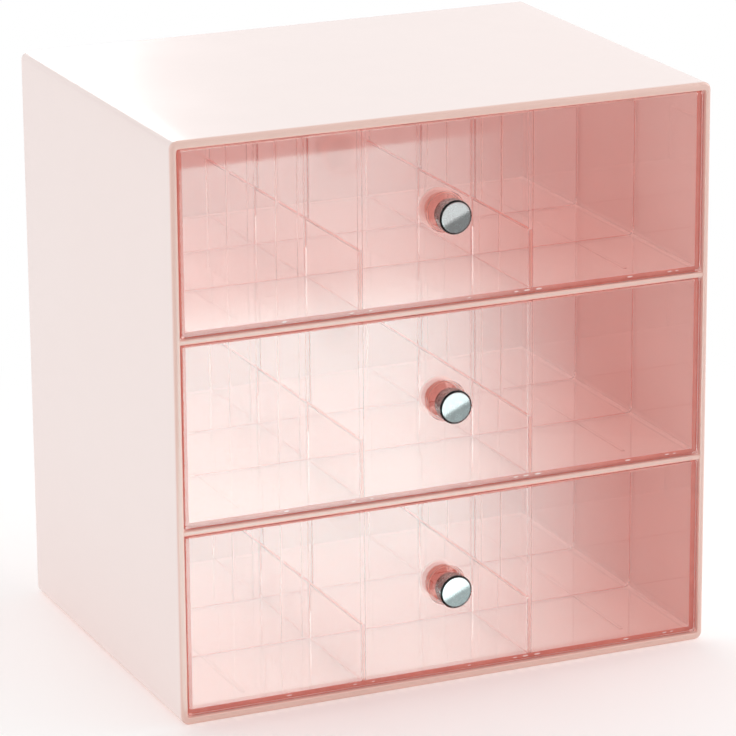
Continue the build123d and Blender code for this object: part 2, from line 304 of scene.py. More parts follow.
def build_casing_shell(settings):
    """The casing's sleeve: the wall's section carried round a rounded rectangle, in two parameters.

    Along one parameter runs the wall's section, along the other the outline. The sides and the top then bow
    in by the wall bow times the product of one minus the squared place between its edges, both ways.
    """
    low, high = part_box("casing_shell")
    panel_low, panel_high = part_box("back_panel")
    rebate = panel_high.x - (high.x - settings.side_wall)
    depth, share, offset = casing_profile(settings, low.y, high.y, panel_low.y, rebate)
    walls = ("side_wall", "top_wall", "base_wall")
    inset = {wall: share * getattr(settings, wall) + offset for wall in walls}
    radius = settings.corner_radius * (1 - share) + settings.opening_radius * share - offset
    x, z = rounded_loop(
        high.x - inset["side_wall"], low.z + inset["base_wall"], high.z - inset["top_wall"],
        np.maximum(radius, 0.05 * MM), arc_points=9, straight_points=22,
    )
    y = np.broadcast_to(depth[:, None], x.shape)
    along_y = 1 - np.clip(2 * (y - low.y) / (high.y - low.y) - 1, -1, 1) ** 2
    along_x = 1 - np.clip(x / high.x, -1, 1) ** 2
    along_z = 1 - np.clip(2 * (z - low.z) / (high.z - low.z) - 1, -1, 1) ** 2
    on_side = np.abs(x) > high.x - settings.side_wall - settings.opening_radius
    on_top = z > high.z - settings.top_wall - settings.opening_radius
    x = x - np.sign(x) * np.where(on_side, settings.bow * along_y * along_z, 0)
    z = z - np.where(on_top & ~on_side, settings.bow * along_y * along_x, 0)
    points = np.stack([x, y, z], axis=-1).reshape(-1, 3)
    faces = grid_faces(*x.shape, close_rows=True, close_columns=True)[:, ::-1]
    return make_piece("casing_sleeve", points, faces)


def build_knob(name, node, settings):
    """A turned knob: a half section of depth and radius carried round the knob's own axis, along Y.

    The section runs from the hole in the neck's foot out to the neck, up the neck to a small cove, round
    the head's back edge, along the head and over the bevel to the face, which dishes in very slightly.
    """
    low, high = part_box(node)
    centre_x, centre_z = (low.x + high.x) / 2, (low.z + high.z) / 2
    head = high.x - centre_x
    neck = head * settings.neck_share
    length = high.y - low.y
    joint = low.y + length * (1 - settings.neck_length_share)
    bevel = settings.head_bevel
    cove, lip, dish = 0.18 * MM, 0.22 * MM, 0.03 * MM
    hole, hole_end, hole_lip = 1.5 * MM, high.y - 4.1 * MM, 0.1 * MM
    face_lip = 0.08 * bevel
    quarter = arc(0, 90, 7)
    slope = np.linspace(-0.08, 0.92, 6)
    runs = [
        ([hole_end, hole_end, hole_end, high.y - hole_lip], [POLE, hole - 0.05 * MM, hole, hole]),
        (high.y - hole_lip * (1 - np.cos(quarter)), hole + hole_lip * np.sin(quarter)),
        (high.y - lip * (1 - np.cos(quarter)), neck - lip * (1 - np.sin(quarter))),
        ([joint + 2 * cove], [neck]),
        (joint + cove * (1 - np.sin(quarter)), neck + cove * (1 - np.cos(quarter))),
        (joint - lip * (1 - np.cos(quarter)), head - lip * (1 - np.sin(quarter))),
        ([joint - 0.7 * MM, low.y + bevel + 0.5 * MM], [head, head]),
        (low.y + bevel - bevel * slope, head - bevel * np.clip(slope, 0, 1)),
        (low.y + face_lip * (1 - np.sin(quarter)), head - bevel + face_lip * (1 - 2 * np.sin(quarter))),
        ([low.y, low.y + dish / 3, low.y + dish, low.y + dish],
         [head - bevel - 0.3 * MM, head * 0.6, head * 0.2, POLE]),
    ]
    y, r = (np.concatenate(part) for part in zip(*runs))
    turn = circle(96)[None, :]
    x = centre_x + r[:, None] * np.cos(turn)
    z = centre_z + r[:, None] * np.sin(turn)
    points = np.stack([x, np.broadcast_to(y[:, None], x.shape), z], axis=-1)
    knob = make_closed_copies(name, points[None])
    behind = np.broadcast_to((y - low.y)[:, None], x.shape)
    place = np.stack([(x - centre_x) / head, behind / length, (z - centre_z) / head], axis=-1)
    attribute = knob.data.attributes.new("knob_place", "FLOAT_VECTOR", "POINT")
    attribute.data.foreach_set("vector", place.astype(np.float32).ravel())
    return knob


def build_bars(name, low, high):
    """Flat bars with rounded sides, one for each row of two corner arrays, all in one mesh.

    A bar's section is a superellipse across its two shorter axes, with the square roots of cosine and sine
    for its half widths. It is carried along the longest axis, and rounds over at both ends by a quarter
    circle of the section's larger half width.
    """
    centre, half = (low + high) / 2, (high - low) / 2
    order = np.argsort(half, axis=1)
    size = np.take_along_axis(half, order, axis=1)
    turn = circle(12)
    section = np.stack([np.cos(turn), np.sin(turn)])
    section = np.sign(section) * np.abs(section) ** 0.5
    rise = np.radians([-88, -60, -30, 0, 0, 30, 60, 88])
    sign = np.array([-1.0] * 4 + [1.0] * 4)
    reach = sign * (size[:, 2] - size[:, 1])[:, None] + size[:, 1][:, None] * np.sin(rise)
    local = np.empty((len(low), len(rise), len(turn), 3))
    local[..., 0] = size[:, 0][:, None, None] * np.cos(rise)[None, :, None] * section[0]
    local[..., 1] = size[:, 1][:, None, None] * np.cos(rise)[None, :, None] * section[1]
    local[..., 2] = reach[:, :, None]
    axes = np.eye(3)[order]
    axes[:, 0] *= np.where(np.linalg.det(axes) < 0, -1.0, 1.0)[:, None]
    points = centre[:, None, None] + np.einsum("brcj,bjk->brck", local, axes)
    return make_closed_copies(name, points)


def build_beads(name, centres, radii):
    """Small squashed beads, all in one mesh: each an ellipsoid over latitude and longitude."""
    latitude = np.radians(np.linspace(-88, 88, 9))[:, None]
    longitude = circle(14)[None, :]
    x, y = np.cos(latitude) * np.cos(longitude), np.cos(latitude) * np.sin(longitude)
    unit = np.stack(np.broadcast_arrays(x, y, np.sin(latitude)), axis=-1)
    return make_closed_copies(name, centres[:, None, None] + unit[None] * radii[:, None, None])


def make_closed_copies(name, points):
    """One mesh of many closed shapes, each a grid of rings that turn left about its rising rows."""
    count, rows, columns = points.shape[:3]
    starts = np.arange(count) * rows * columns
    one = grid_faces(rows, columns, close_rows=False, close_columns=True)[:, ::-1]
    faces = (one[None] + starts[:, None, None]).reshape(-1, 4)
    poles = [ring[::-1] for start in starts for ring in end_rings(rows, columns, start)]
    return make_piece(name, points.reshape(-1, 3), faces, poles)


def build_boss_wall(name, drawer):
    """A ring of painted shade inside the boss's wall, for the deeper pink that the wall shows: a superellipse
    section carried round the knob's axis, along Y.

    The section's half widths go as the square roots of cosine and sine. The boss ends where the front
    panel's solid ends, and its wall is a little wider than the knob's head.
    """
    knob_low, knob_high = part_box(f"{drawer}_knob")
    back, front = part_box(f"{drawer}_front_panel")[1].y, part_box(f"{drawer}_tray")[0].y
    middle_radius, half_wall = (knob_high.x - knob_low.x) / 2 + 0.6 * MM, 0.25 * MM
    middle_depth, half_length = (back + front) / 2, (back - front) / 2 - 0.7 * MM
    section = circle(16)[:, None]
    turn = circle(64)[None, :]
    cosine, sine = (np.sign(v) * np.abs(v) ** 0.5 for v in (np.cos(section), np.sin(section)))
    radius = middle_radius + half_wall * cosine
    x = (knob_low.x + knob_high.x) / 2 + radius * np.cos(turn)
    y = np.broadcast_to(middle_depth + half_length * sine, x.shape)
    z = (knob_low.z + knob_high.z) / 2 + radius * np.sin(turn)
    points = np.stack([x, y, z], axis=-1).reshape(-1, 3)
    return make_piece(name, points, grid_faces(*x.shape, close_rows=True, close_columns=True))


def span(node):
    """A node's lowest and highest corners as arrays."""
    low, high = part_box(node)
    return np.array(low), np.array(high)


def about(middle, half):
    """The range from half below a middle to half above it."""
    return middle - half, middle + half


def divider_lines(drawer, foot, top, panel_back):
    """Edge lines of painted shade on the low dividers: top, foot and front end, and their crossings' posts
    and slots.
    """
    bars = []
    for side in ("left", "right"):
        low, high = span(f"{drawer}_{side}_divider")
        x = (low[0] + high[0]) / 2
        width, length = about(x, 0.5 * MM), (panel_back, high[1] - 0.5 * MM)
        bars += [
            (width, length, (top - 0.1 * MM, top + SKIN)),
            (width, length, (foot + SKIN, foot + 3 * SKIN)),
            (width, about(low[1] - 0.05 * MM, FINE), (foot, top)),
        ]
        for cross in CROSSES:
            cross_high = span(f"{drawer}_{cross}_cross_divider")[1]
            y = cross_high[1] - CROSS_HALF
            bars.append((about(x, 0.45 * MM), about(y, CROSS_HALF + SKIN), (foot, top)))
            slot = (about(y, 0.5 * MM), (top + 0.1 * MM, cross_high[2] - 0.5 * MM))
            bars += [(about(x + edge, FINE), *slot) for edge in (-CROSS_HALF, CROSS_HALF)]
    return bars


def cross_lines(drawer):
    """Edge lines of painted shade on the cross dividers: their feet and both ends."""
    bars = []
    for cross in CROSSES:
        low, high = span(f"{drawer}_{cross}_cross_divider")
        y = high[1] - CROSS_HALF
        foot = (low[2] + SKIN, low[2] + 3 * SKIN)
        bars.append(((low[0] + 2 * MM, high[0] - 2 * MM), about(y, 0.55 * MM), foot))
        for x in (low[0] - 0.03 * MM, high[0] + 0.03 * MM):
            bars.append((about(x, FINE), about(y, 0.5 * MM), (low[2] + 2 * MM, high[2] - 0.5 * MM)))
    return bars


def panel_lines(drawer, foot, panel_back):
    """Edge lines of painted shade where the tray's front end meets the front panel, and round the panel's own
    rim.
    """
    wall, inset, rounding = 1.8 * MM, 0.15 * MM, 0.7 * MM
    tray_low, tray_high = span(f"{drawer}_tray")
    low, high = span(f"{drawer}_front_panel")
    behind_panel = (panel_back - 3 * SKIN, panel_back - SKIN)
    upright = (foot - 1.2 * MM, tray_high[2] - 0.6 * MM)
    in_panel = about(panel_back - 1.0 * MM, 0.5 * MM)
    left_end = (tray_low[0] + inset, tray_low[0] + wall - 0.05 * MM)
    right_end = (tray_high[0] - wall + 0.05 * MM, tray_high[0] - inset)
    floor_end = (tray_low[0] + 1.2 * MM, tray_high[0] - 1.2 * MM)
    return [
        (left_end, behind_panel, upright),
        (right_end, behind_panel, upright),
        (floor_end, behind_panel, (foot - 1.5 * MM, foot - 0.1 * MM)),
        (about(low[0], FINE), in_panel, (low[2] + rounding, high[2] - rounding)),
        (about(high[0], FINE), in_panel, (low[2] + rounding, high[2] - rounding)),
        ((low[0] + rounding, high[0] - rounding), in_panel, about(low[2], FINE)),
    ]


def painted_edge_shade(drawer):
    """Lowest and highest corners of the bars along a drawer's plate edges, in two arrays.

    Light gathers along a plate's edges, so the plastic looks deepest in colour there; the bars paint that
    colour on as painted shade.
    """
    low, high = span(f"{drawer}_left_divider")
    foot, top = low[2], high[2]
    panel_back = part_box(f"{drawer}_tray")[0].y
    bars = divider_lines(drawer, foot, top, panel_back) + cross_lines(drawer)
    bars = np.array(bars + panel_lines(drawer, foot, panel_back))
    return bars[..., 0], bars[..., 1]


def weld_places(drawer):
    """Middles and radii of the beads at the dividers' corners and along the front seam, whose pale colour
    paints the glints there.

    A bead's size is a share of the full one, half plus half the squared sine of its number's multiple.
    """
    left_low, left_high = span(f"{drawer}_left_divider")
    right_low, right_high = span(f"{drawer}_right_divider")
    foot, top, panel_back = left_low[2], left_high[2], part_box(f"{drawer}_tray")[0].y
    middles = ((left_low[0] + left_high[0]) / 2, (right_low[0] + right_high[0]) / 2)
    rows = []
    for y in (panel_back + 0.2 * MM, left_high[1] - 0.7 * MM):
        rows += [(x, y, z) for x in middles for z in (foot + 0.3 * MM, top - 0.2 * MM)]
    for cross in CROSSES:
        low, high = span(f"{drawer}_{cross}_cross_divider")
        ends = (low[0] + 0.5 * MM, high[0] - 0.5 * MM)
        rows += [(x, high[1] - CROSS_HALF, foot + 0.9 * MM) for x in ends]
        rows += [(x + side, high[1], top + 0.3 * MM) for x in middles for side in (-0.7 * MM, 0.7 * MM)]
    rows += [(x, panel_back - 0.25 * MM, foot - 0.75 * MM) for x in SEAM_BEADS]
    share = 0.5 + 0.5 * np.sin(12.9898 * np.arange(len(rows))) ** 2
    radii = BEAD_RADII * share[:, None]
    radii[-len(SEAM_BEADS):] *= SEAM_BEAD_STRETCH
    return np.array(rows), radii


# ---------------------------------------------------------------------------------------------
# Materials
# ---------------------------------------------------------------------------------------------

def new_group(name, inputs, outputs):
    """An empty shader node group. inputs and outputs are pairs of a socket's name and its kind or value."""
    group = bpy.data.node_groups.new(name, "ShaderNodeTree")
    kinds = {str: "NodeSocketVector", tuple: "NodeSocketColor", float: "NodeSocketFloat"}
    for socket_name, value in inputs:
        socket = group.interface.new_socket(socket_name, in_out="INPUT", socket_type=kinds[type(value)])
        if value != "VECTOR":
            socket.default_value = value
    for socket_name, kind in outputs:
        group.interface.new_socket(socket_name, in_out="OUTPUT", socket_type=kind)
    return group, group.nodes.new("NodeGroupInput"), group.nodes.new("NodeGroupOutput")


def feed(tree, socket, value):
    """Links a socket to another, or sets it to a number or a colour."""
    if hasattr(value, "links"):
        tree.links.new(value, socket)
    else:
        socket.default_value = (*value, 1.0) if hasattr(value, "__len__") else value


def noise_in(tree, vector, scale, detail, roughness=0.5):
    """A noise texture read at a vector."""
    noise = tree.nodes.new("ShaderNodeTexNoise")
    values = {"Vector": vector, "Scale": scale, "Detail": detail, "Roughness": roughness}
    for socket, value in values.items():
        feed(tree, noise.inputs[socket], value)
    return noise.outputs["Fac"]


def math_in(tree, operation, first, second, clamp=False):
    """A math node on two values, each a number or a socket."""
    node = tree.nodes.new("ShaderNodeMath")
    node.operation = operation
    node.use_clamp = clamp
    for socket, value in zip(node.inputs, (first, second)):
        feed(tree, socket, value)
    return node.outputs[0]


def mix_colours(tree, factor, first, second):
    """A colour mix, where each part is a colour or a socket."""
    node = tree.nodes.new("ShaderNodeMix")
    node.data_type = "RGBA"
    colours = [socket for socket in node.inputs if socket.type == "RGBA"]
    for socket, value in zip([node.inputs[0], *colours], (factor, first, second)):
        feed(tree, socket, value)
    return next(socket for socket in node.outputs if socket.type == "RGBA")


def ramp(tree, value, start, end, low=0.0, high=1.0, kind="SMOOTHSTEP"):
    """A step from low at start to high at end, smooth or of another kind."""
    step = tree.nodes.new("ShaderNodeMapRange")
    step.interpolation_type = kind
    for socket, stop in (("From Min", start), ("From Max", end), ("To Min", low), ("To Max", high)):
        step.inputs[socket].default_value = stop
    tree.links.new(value, step.inputs["Value"])
    return step.outputs["Result"]


def parts_of(tree, vector):
    """A vector's three parts."""
    parts = tree.nodes.new("ShaderNodeSeparateXYZ")
    tree.links.new(vector, parts.inputs[0])
    return parts.outputs


def mix_shaders(tree, factor, first, second):
    """A mix of two shaders."""
    mix = tree.nodes.new("ShaderNodeMixShader")
    for value, socket in zip((factor, first, second), mix.inputs):
        tree.links.new(value, socket)
    return mix.outputs[0]


def vector_math(tree, operation, first, second=None):
    """The value of a vector math node on a socket and, where given, a fixed vector."""
    node = tree.nodes.new("ShaderNodeVectorMath")
    node.operation = operation
    tree.links.new(first, node.inputs[0])
    if second is not None:
        node.inputs[1].default_value = second
    return node.outputs["Value"]


def build_moulding_group():
    """Moulded plastic: flow waves and a fine orange peel as one height, and a haze of handling."""
    group, source, sink = new_group(
        "Moulded surface",
        [("Vector", "VECTOR"), ("Flow Scale", 12.0), ("Peel Scale", 900.0), ("Peel Share", 0.15),
         ("Roughness", 0.2), ("Haze", 0.06), ("Haze Scale", 30.0)],
        [("Height", "NodeSocketFloat"), ("Roughness", "NodeSocketFloat")],
    )
    flow = noise_in(group, source.outputs["Vector"], source.outputs["Flow Scale"], 2.0)
    peel = noise_in(group, source.outputs["Vector"], source.outputs["Peel Scale"], 1.0)
    fine = math_in(group, "MULTIPLY", peel, source.outputs["Peel Share"])
    group.links.new(math_in(group, "ADD", flow, fine), sink.inputs["Height"])
    haze = noise_in(group, source.outputs["Vector"], source.outputs["Haze Scale"], 6.0, 0.65)
    centred = math_in(group, "SUBTRACT", haze, 0.5)
    drift = math_in(group, "MULTIPLY", centred, source.outputs["Haze"])
    roughness = math_in(group, "ADD", source.outputs["Roughness"], drift, clamp=True)
    group.links.new(roughness, sink.inputs["Roughness"])
    return group


def build_drift_group():
    """A slow drift between two colours, as plastic shows where it flowed thicker in the mould."""
    group, source, sink = new_group(
        "Colour drift",
        [("Vector", "VECTOR"), ("Colour", WHITE), ("Shade", WHITE), ("Scale", 9.0)],
        [("Colour", "NodeSocketColor")],
    )
    cloud = noise_in(group, source.outputs["Vector"], source.outputs["Scale"], 3.0)
    mixed = mix_colours(group, cloud, source.outputs["Colour"], source.outputs["Shade"])
    group.links.new(mixed, sink.inputs["Colour"])
    return group


def start_material(name):
    """A material with its node tree, its Principled shader and its object coordinates."""
    material = bpy.data.materials.new(name)
    material.use_nodes = True
    tree = material.node_tree
    shader = tree.nodes["Principled BSDF"]
    place = tree.nodes.new("ShaderNodeTexCoord").outputs["Object"]
    return material, tree, shader, place


def use_group(tree, group, vector, **values):
    """A group node in a material, with some inputs set by name, an underscore for each space."""
    node = tree.nodes.new("ShaderNodeGroup")
    node.node_tree = group
    tree.links.new(vector, node.inputs["Vector"])
    for key, value in values.items():
        feed(tree, node.inputs[key.replace("_", " ")], value)
    return node


def add_bump(tree, shader, height, strength, distance):
    """A bump from a height into the shader's normal."""
    bump = tree.nodes.new("ShaderNodeBump")
    bump.inputs["Strength"].default_value = strength
    bump.inputs["Distance"].default_value = distance
    tree.links.new(height, bump.inputs["Height"])
    tree.links.new(bump.outputs["Normal"], shader.inputs["Normal"])


def mould(tree, shader, moulding, place, **values):
    """Gives a shader the moulded surface's roughness, and returns the surface's height."""
    surface = use_group(tree, moulding, place, **values)
    tree.links.new(surface.outputs["Roughness"], shader.inputs["Roughness"])
    return surface.outputs["Height"]


def put_out(tree, result, socket="Surface"):
    """Links a shader to the material's output."""
    tree.links.new(result, tree.nodes["Material Output"].inputs[socket])


def let_through(tree, surface, colour, rays):
    """Mixes a surface with a tinted see-through one for some kinds of ray, and puts it out."""
    passing = tree.nodes.new("ShaderNodeBsdfTransparent")
    passing.inputs["Color"].default_value = (*colour, 1.0)
    for ray in rays:
        surface = mix_shaders(tree, ray, surface, passing.outputs["BSDF"])
    put_out(tree, surface)


def build_plastic(name, colours, colour_scale, groups, bump, **surface):
    """Moulded plastic whose colour drifts between two. The bump has a strength and a distance."""
    moulding, drift = groups
    material, tree, shader, place = start_material(name)
    first, second = colours
    colour = use_group(tree, drift, place, Colour=first, Shade=second, Scale=colour_scale).outputs["Colour"]
    tree.links.new(colour, shader.inputs["Base Color"])
    add_bump(tree, shader, mould(tree, shader, moulding, place, **surface), *bump)
    return material, tree, shader, place, colour


def build_blush(settings, groups):
    """Opaque blush plastic with a moulded gloss, deeper in colour along its front edges, where that colour is
    painted shade.
    """
    material, tree, shader, place, colour = build_plastic(
        "blush_plastic", (settings.colour, settings.shade), 9.0, groups, (0.08, 0.5 * MM),
        Roughness=settings.gloss_roughness, Haze=0.12,
    )
    forward = math_in(tree, "MULTIPLY", parts_of(tree, place)[1], -1.0)
    front = -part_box("casing_shell")[0].y
    # Painted shade: the rim mask mixes a deeper colour onto the front edges.
    rim = ramp(tree, forward, front - RIM_SHADE_START, front - RIM_SHADE_FULL)
    tree.links.new(mix_colours(tree, rim, colour, settings.rim_painted_shade), shader.inputs["Base Color"])
    shader.inputs["IOR"].default_value = 1.5
    light = tree.nodes.new("ShaderNodeLightPath")
    let_through(tree, shader.outputs["BSDF"], settings.passing, [light.outputs["Is Shadow Ray"]])
    return material


def build_clear(settings, groups):
    """Clear pink plastic: tinted glass with a faint ripple that also absorbs along its long way.

    Lamplight and light sent on by a rough surface pass straight through it with its tint, and so does
    light that a plate has trapped for many bounces.
    """
    material, tree, shader, _, _ = build_plastic(
        "clear_pink_plastic", (settings.face, settings.face_shade), 14.0, groups, (0.05, 0.5 * MM),
        Roughness=0.02, Haze=0.03, Peel_Share=0.02,
    )
    shader.inputs["Transmission Weight"].default_value = 1.0
    shader.inputs["IOR"].default_value = settings.index
    light = tree.nodes.new("ShaderNodeLightPath")
    trapped = math_in(tree, "GREATER_THAN", light.outputs["Ray Depth"], settings.trap_depth)
    rays = (trapped, light.outputs["Is Shadow Ray"], light.outputs["Is Diffuse Ray"])
    let_through(tree, shader.outputs["BSDF"], settings.passing, rays)
    absorption = tree.nodes.new("ShaderNodeVolumeAbsorption")
    absorption.inputs["Color"].default_value = (*settings.tint, 1.0)
    absorption.inputs["Density"].default_value = settings.depth_of_tint
    put_out(tree, absorption.outputs["Volume"], "Volume")
    return material


def build_plating(settings, moulding):
    """Plated metal: bright above a slanted split on the face, grainy below it and darkened there by a painted
    reflection, with a dark bevel.

    It reads the place on the knob, which is the distance from its axis over the head's radius across the
    face, and the depth behind the face over the knob's length.
    """
    material, tree, shader, place = start_material("knob_plating")
    source = tree.nodes.new("ShaderNodeAttribute")
    source.attribute_name = "knob_place"
    across, behind, up = parts_of(tree, source.outputs["Vector"])
    grain = noise_in(tree, place, 3200.0, 3.0, 0.75)
    rough_grain = noise_in(tree, place, 900.0, 4.0, 0.7)
    # Painted reflection: the face is bright above a slanted split and dark below it; the grain makes the
    # split's edge wander.
    slant = math_in(tree, "SUBTRACT", up, math_in(tree, "MULTIPLY", across, SPLIT_SLOPE))
    wander = math_in(tree, "MULTIPLY", math_in(tree, "SUBTRACT", grain, 0.5), SPLIT_WANDER)
    bright = ramp(tree, math_in(tree, "ADD", slant, wander), *SPLIT_BLEND)
    face = mix_colours(tree, bright, settings.grain, settings.colour)
    flat = tree.nodes.new("ShaderNodeCombineXYZ")
    tree.links.new(across, flat.inputs[0])
    tree.links.new(up, flat.inputs[2])
    rim = ramp(tree, vector_math(tree, "LENGTH", flat.outputs[0]), *BEVEL_START)
    ringed = mix_colours(tree, rim, face, settings.bevel)
    side = mix_colours(tree, rough_grain, settings.side_shade, settings.side)
    depth = ramp(tree, behind, *SIDE_START)
    tree.links.new(mix_colours(tree, depth, ringed, side), shader.inputs["Base Color"])
    mould(tree, shader, moulding, place, Roughness=0.28, Haze=0.25, Haze_Scale=900.0)
    add_bump(tree, shader, grain, 0.35, 0.04 * MM)
    shader.inputs["Metallic"].default_value = 1.0
    return material


def build_steel(moulding):
    """Plain steel of the stud."""
    material, tree, shader, place = start_material("stud_steel")
    mould(tree, shader, moulding, place, Roughness=0.35, Haze=0.2, Haze_Scale=600.0)
    grain = noise_in(tree, place, 1500.0, 2.0)
    tree.links.new(mix_colours(tree, grain, STEEL_DARK, STEEL_BRIGHT), shader.inputs["Base Color"])
    shader.inputs["Metallic"].default_value = 1.0
    return material


def build_floor_material(settings):
    """A pale floor that keeps the shadow near the object and fades to white away from it."""
    material, tree, shader, place = start_material("floor_paper")
    shader.inputs["Base Color"].default_value = (*settings.floor_colour, 1.0)
    shader.inputs["Roughness"].default_value = 0.9
    shader.inputs["Specular IOR Level"].default_value = 0.0
    away = ramp(tree, vector_math(tree, "LENGTH", place), settings.shadow_reach / 3, settings.shadow_reach)
    factor = math_in(tree, "MULTIPLY", away, seen_ray(tree), clamp=True)
    white = tree.nodes.new("ShaderNodeEmission").outputs[0]
    put_out(tree, mix_shaders(tree, factor, shader.outputs["BSDF"], white))
    return material


def seen_ray(tree):
    """One for a ray from the camera, off a glossy surface or through a clear one, and zero for others."""
    light = tree.nodes.new("ShaderNodeLightPath")
    mirrored = math_in(tree, "ADD", light.outputs["Is Camera Ray"], light.outputs["Is Glossy Ray"])
    return math_in(tree, "ADD", mirrored, light.outputs["Is Transmission Ray"], clamp=True)


def dress(piece, material):
    """Puts one material on all of a piece."""
    piece.data.materials.clear()
    piece.data.materials.append(material)


def dress_node(node, material):
    """Gives a CAD node's slots a material and leaves its mesh alone."""
    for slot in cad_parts[node].material_slots:
        slot.material = material


# ---------------------------------------------------------------------------------------------
# Operators
# ---------------------------------------------------------------------------------------------

class ORGANIZER_OT_casing(bpy.types.Operator):
    """Builds the casing's sleeve and dresses its back and shelves"""
    bl_idname = "organizer.casing"
    bl_label = "Casing"

    def execute(self, context):
        settings = context.scene.organizer_casing
        blush = build_blush(settings, shared_groups())
        sleeve = build_casing_shell(settings)
        dress(sleeve, blush)
        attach(sleeve, "casing")
        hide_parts("casing_shell")
        for node in ("back_panel", "upper_shelf", "lower_shelf"):
            dress_node(node, blush)
        return {"FINISHED"}


class ORGANIZER_OT_drawers(bpy.types.Operator):
    """Dresses the three clear drawers"""
    bl_idname = "organizer.drawers"
    bl_label = "Drawers"

    def execute(self, context):
        clear = build_clear(context.scene.organizer_clear, shared_groups())
        for drawer in DRAWERS:
            for part in CLEAR_PARTS:
                dress_node(f"{drawer}_{part}", clear)
        return {"FINISHED"}


class ORGANIZER_OT_edges(bpy.types.Operator):
    """Draws the deeper colour along the drawers' plate edges and in the bosses as painted shade, and the
    solvent beads at their joins, pale as painted glints
    """
    bl_idname = "organizer.edges"
    bl_label = "Edges and joins"

    def execute(self, context):
        settings = context.scene.organizer_clear
        # Edge and boss are painted shade; the bead's pale colour paints glints.
        edge, boss, bead = (
            build_plastic(name, colours, colour_scale, shared_groups(), (0.2, 0.1 * MM), **surface)[0]
            for name, colours, colour_scale, surface in (
                ("pink_edge_painted_shade", (settings.edge, settings.edge_shade), 160.0, EDGE_SURFACE),
                ("pink_boss_painted_shade", (settings.boss, settings.edge_shade), 160.0, EDGE_SURFACE),
                ("weld_bead_glint", (BEAD_GLINT_WHITE, BEAD_PINK), 900.0, BEAD_SURFACE),
            )
        )
        for drawer in DRAWERS:
            pieces = {
                build_bars(f"{drawer}_painted_edge_shade", *painted_edge_shade(drawer)): edge,
                build_beads(f"{drawer}_weld_bead_glints", *weld_places(drawer)): bead,
                build_boss_wall(f"{drawer}_boss_wall", drawer): boss,
            }
            for piece, material in pieces.items():
                dress(piece, material)
                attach(piece, f"{drawer}_drawer")
        return {"FINISHED"}


class ORGANIZER_OT_knobs(bpy.types.Operator):
    """Builds the three knobs and dresses their studs"""
    bl_idname = "organizer.knobs"
    bl_label = "Knobs"

    def execute(self, context):
        settings = context.scene.organizer_knob
        moulding, _ = shared_groups()
        plating, steel = build_plating(settings, moulding), build_steel(moulding)
        for drawer in DRAWERS:
            knob = build_knob(f"{drawer}_turned_knob", f"{drawer}_knob", settings)
            dress(knob, plating)
            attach(knob, f"{drawer}_drawer")
            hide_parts(f"{drawer}_knob")
            dress_node(f"{drawer}_knob_stud", steel)
        return {"FINISHED"}


class ORGANIZER_OT_stage(bpy.types.Operator):
    """Lays the floor and sets the lamps, the surroundings and the camera"""
    bl_idname = "organizer.stage"
    bl_label = "Stage"

    def execute(self, context):
        settings = context.scene.organizer_stage
        build_floor(settings)
        build_world()
        build_lamps()
        build_bounce_card(settings)
        build_camera(settings)
        set_light_paths(context.scene.cycles)
        context.scene.view_settings.view_transform = "Standard"
        return {"FINISHED"}


def build_floor(settings):
    """A disc: rings of points at growing radii, closed in the middle by a very small ring."""
    radii = np.array([0.001, 0.1, 0.3, 1.0, settings.floor_reach])[:, None]
    turn = circle(64)[None, :]
    x, y = radii * np.cos(turn), radii * np.sin(turn)
    points = np.stack([x, y, np.zeros_like(x)], axis=-1).reshape(-1, 3)
    rings = grid_faces(*x.shape, close_rows=False, close_columns=True)
    floor = make_piece("floor", points, rings, end_rings(*x.shape)[:1])
    dress(floor, build_floor_material(settings))


def set_light_paths(cycles):
    """Enough bounces for light to cross every clear plate of a drawer and fill the bay behind."""
    cycles.max_bounces = 20
    cycles.diffuse_bounces = 6
    cycles.glossy_bounces = 20
    cycles.transmission_bounces = 20
    cycles.transparent_max_bounces = 64


def build_world():
    """White to the camera, in gloss and through clear plastic, and for all else a fill, dimmer in front."""
    world = bpy.data.worlds.new("studio")
    world.use_nodes = True
    tree = world.node_tree
    fill = tree.nodes["Background"]
    fill.inputs["Color"].default_value = WHITE
    y = parts_of(tree, tree.nodes.new("ShaderNodeTexCoord").outputs["Generated"])[1]
    tree.links.new(ramp(tree, y, *FILL, "LINEAR"), fill.inputs["Strength"])
    white = tree.nodes.new("ShaderNodeBackground")
    white.inputs["Color"].default_value = WHITE
    mixed = mix_shaders(tree, seen_ray(tree), fill.outputs[0], white.outputs[0])
    tree.links.new(mixed, tree.nodes["World Output"].inputs["Surface"])
    bpy.context.scene.world = world


def build_lamps():
    """Soft square lamps: from the right in front and beside, from the left, from above and from behind."""
    for name, (place, size, power) in LAMPS.items():
        lamp = bpy.data.lights.new(name, "AREA")
        lamp.shape = "SQUARE"
        lamp.size = size
        lamp.energy = power
        holder = bpy.data.objects.new(name, lamp)
        holder.location = place
        holder.rotation_euler = (Vector(LAMP_AIM) - Vector(place)).to_track_quat("-Z", "Y").to_euler()
        bpy.context.scene.collection.objects.link(holder)


def build_bounce_card(settings):
    """A white card on the table in front, which gives the drawers' fronts their mirrored sheen.

    It is a grid: one parameter runs along the card's length, turned a little to the right of straight
    ahead, the other along the object's front.
    """
    along = np.array([math.sin(settings.card_turn), -math.cos(settings.card_turn)])
    across = np.array([math.cos(settings.card_turn), math.sin(settings.card_turn)])
    u = np.linspace(0.0, 1.0, 40)[:, None, None] * settings.card_length
    v = np.linspace(-1.0, 0.0, 24)[None, :, None] * settings.card_width
    start = np.array([settings.card_edge, CARD_START_Y])
    xy = start + along * u + np.array([1.0, 0.0]) * v
    points = np.concatenate([xy, np.full((*xy.shape[:2], 1), CARD_HEIGHT)], axis=2).reshape(-1, 3)
    card = make_piece("bounce_card", points, grid_faces(*xy.shape[:2], close_rows=False, close_columns=False))
    dress(card, build_card_material(settings, start, across))
    card.visible_camera = card.visible_diffuse = card.visible_shadow = False


